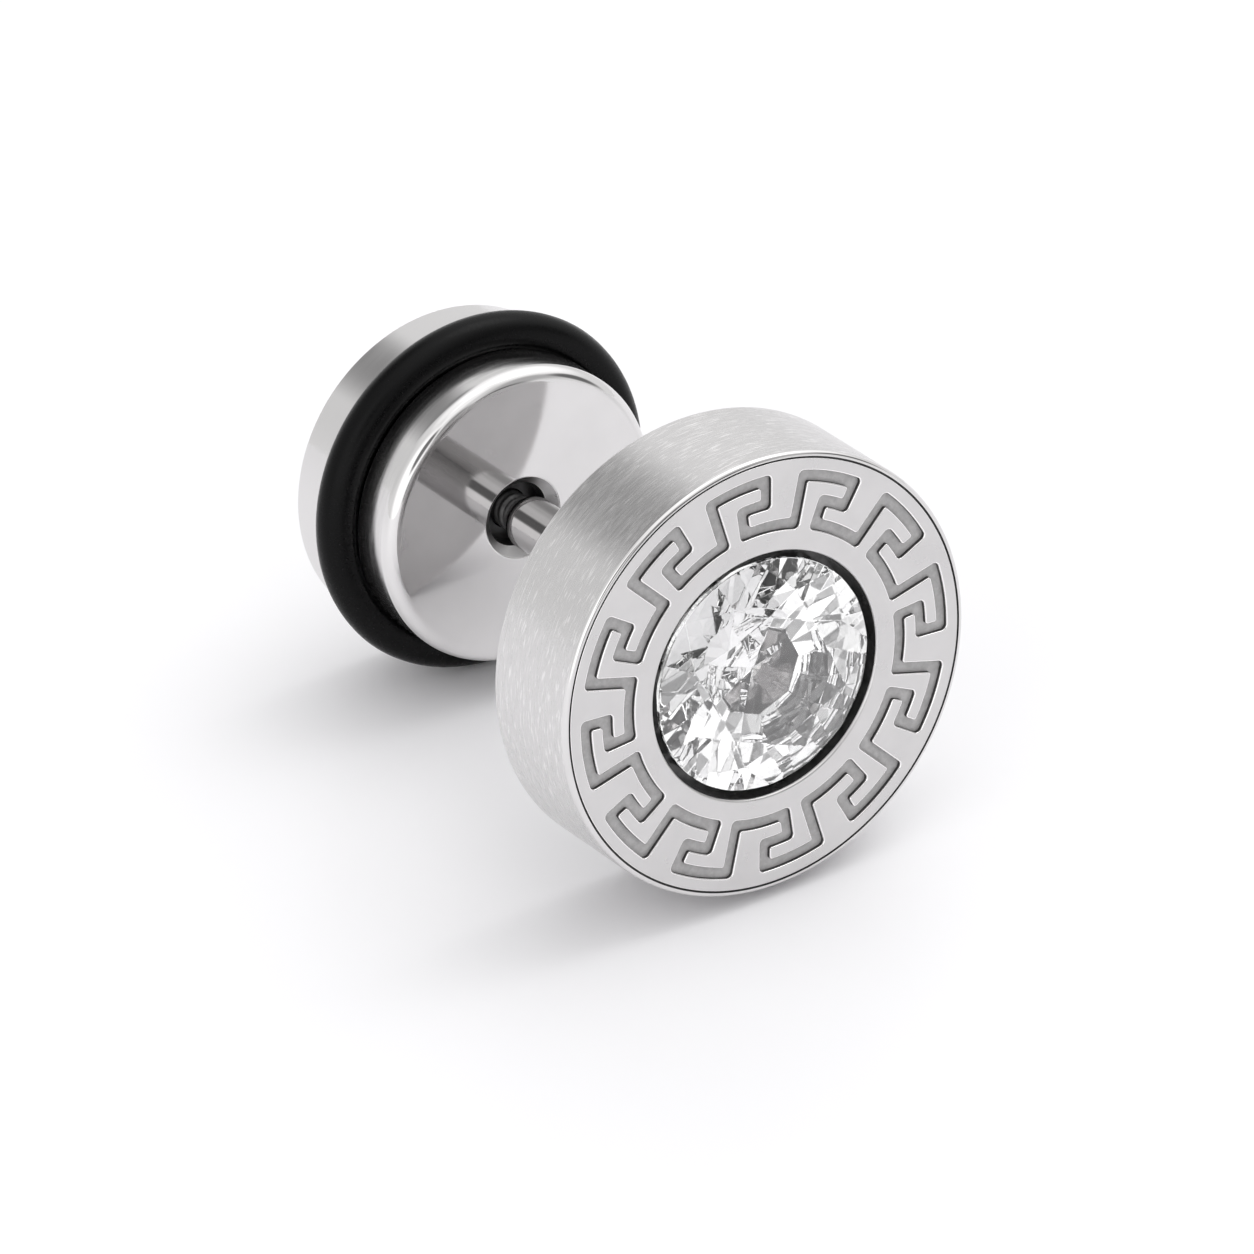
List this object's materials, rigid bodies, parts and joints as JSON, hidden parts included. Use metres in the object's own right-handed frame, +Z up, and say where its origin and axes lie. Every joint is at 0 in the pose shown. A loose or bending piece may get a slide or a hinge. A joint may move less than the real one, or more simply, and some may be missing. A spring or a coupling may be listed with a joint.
{
  "type": "stud earring",
  "caption": "Plug-look stud earring: round front disc with a set stone and an etched meander, straight post, and a screw-on round back with a rubber ring.",
  "frame": {"origin": "centre of the footprint, on the surface that the earring lies on", "axes": "+Z up as it lies by itself, -Y towards the front disc's face, +X to the right seen from the front"},
  "size_m": [0.01, 0.0134, 0.0102],
  "materials": {
    "brushed_disc": "brushed side, satin face, matte grey etched channel, dark bore",
    "polished_steel": "polished",
    "stone": "clear, cut and polished",
    "rubber": "satin black"
  },
  "bodies": {
    "front": {"front_disc": "brushed_disc", "stone": "stone", "post": "polished_steel"},
    "back": {"screw_back": "polished_steel", "o_ring": "rubber"}
  },
  "joints": [
    {"name": "back_off", "type": "slide", "parent": "front", "child": "back", "axis": [0, 0.9944, -0.1058], "range_m": [-0.00058, 0.01]}
  ]
}
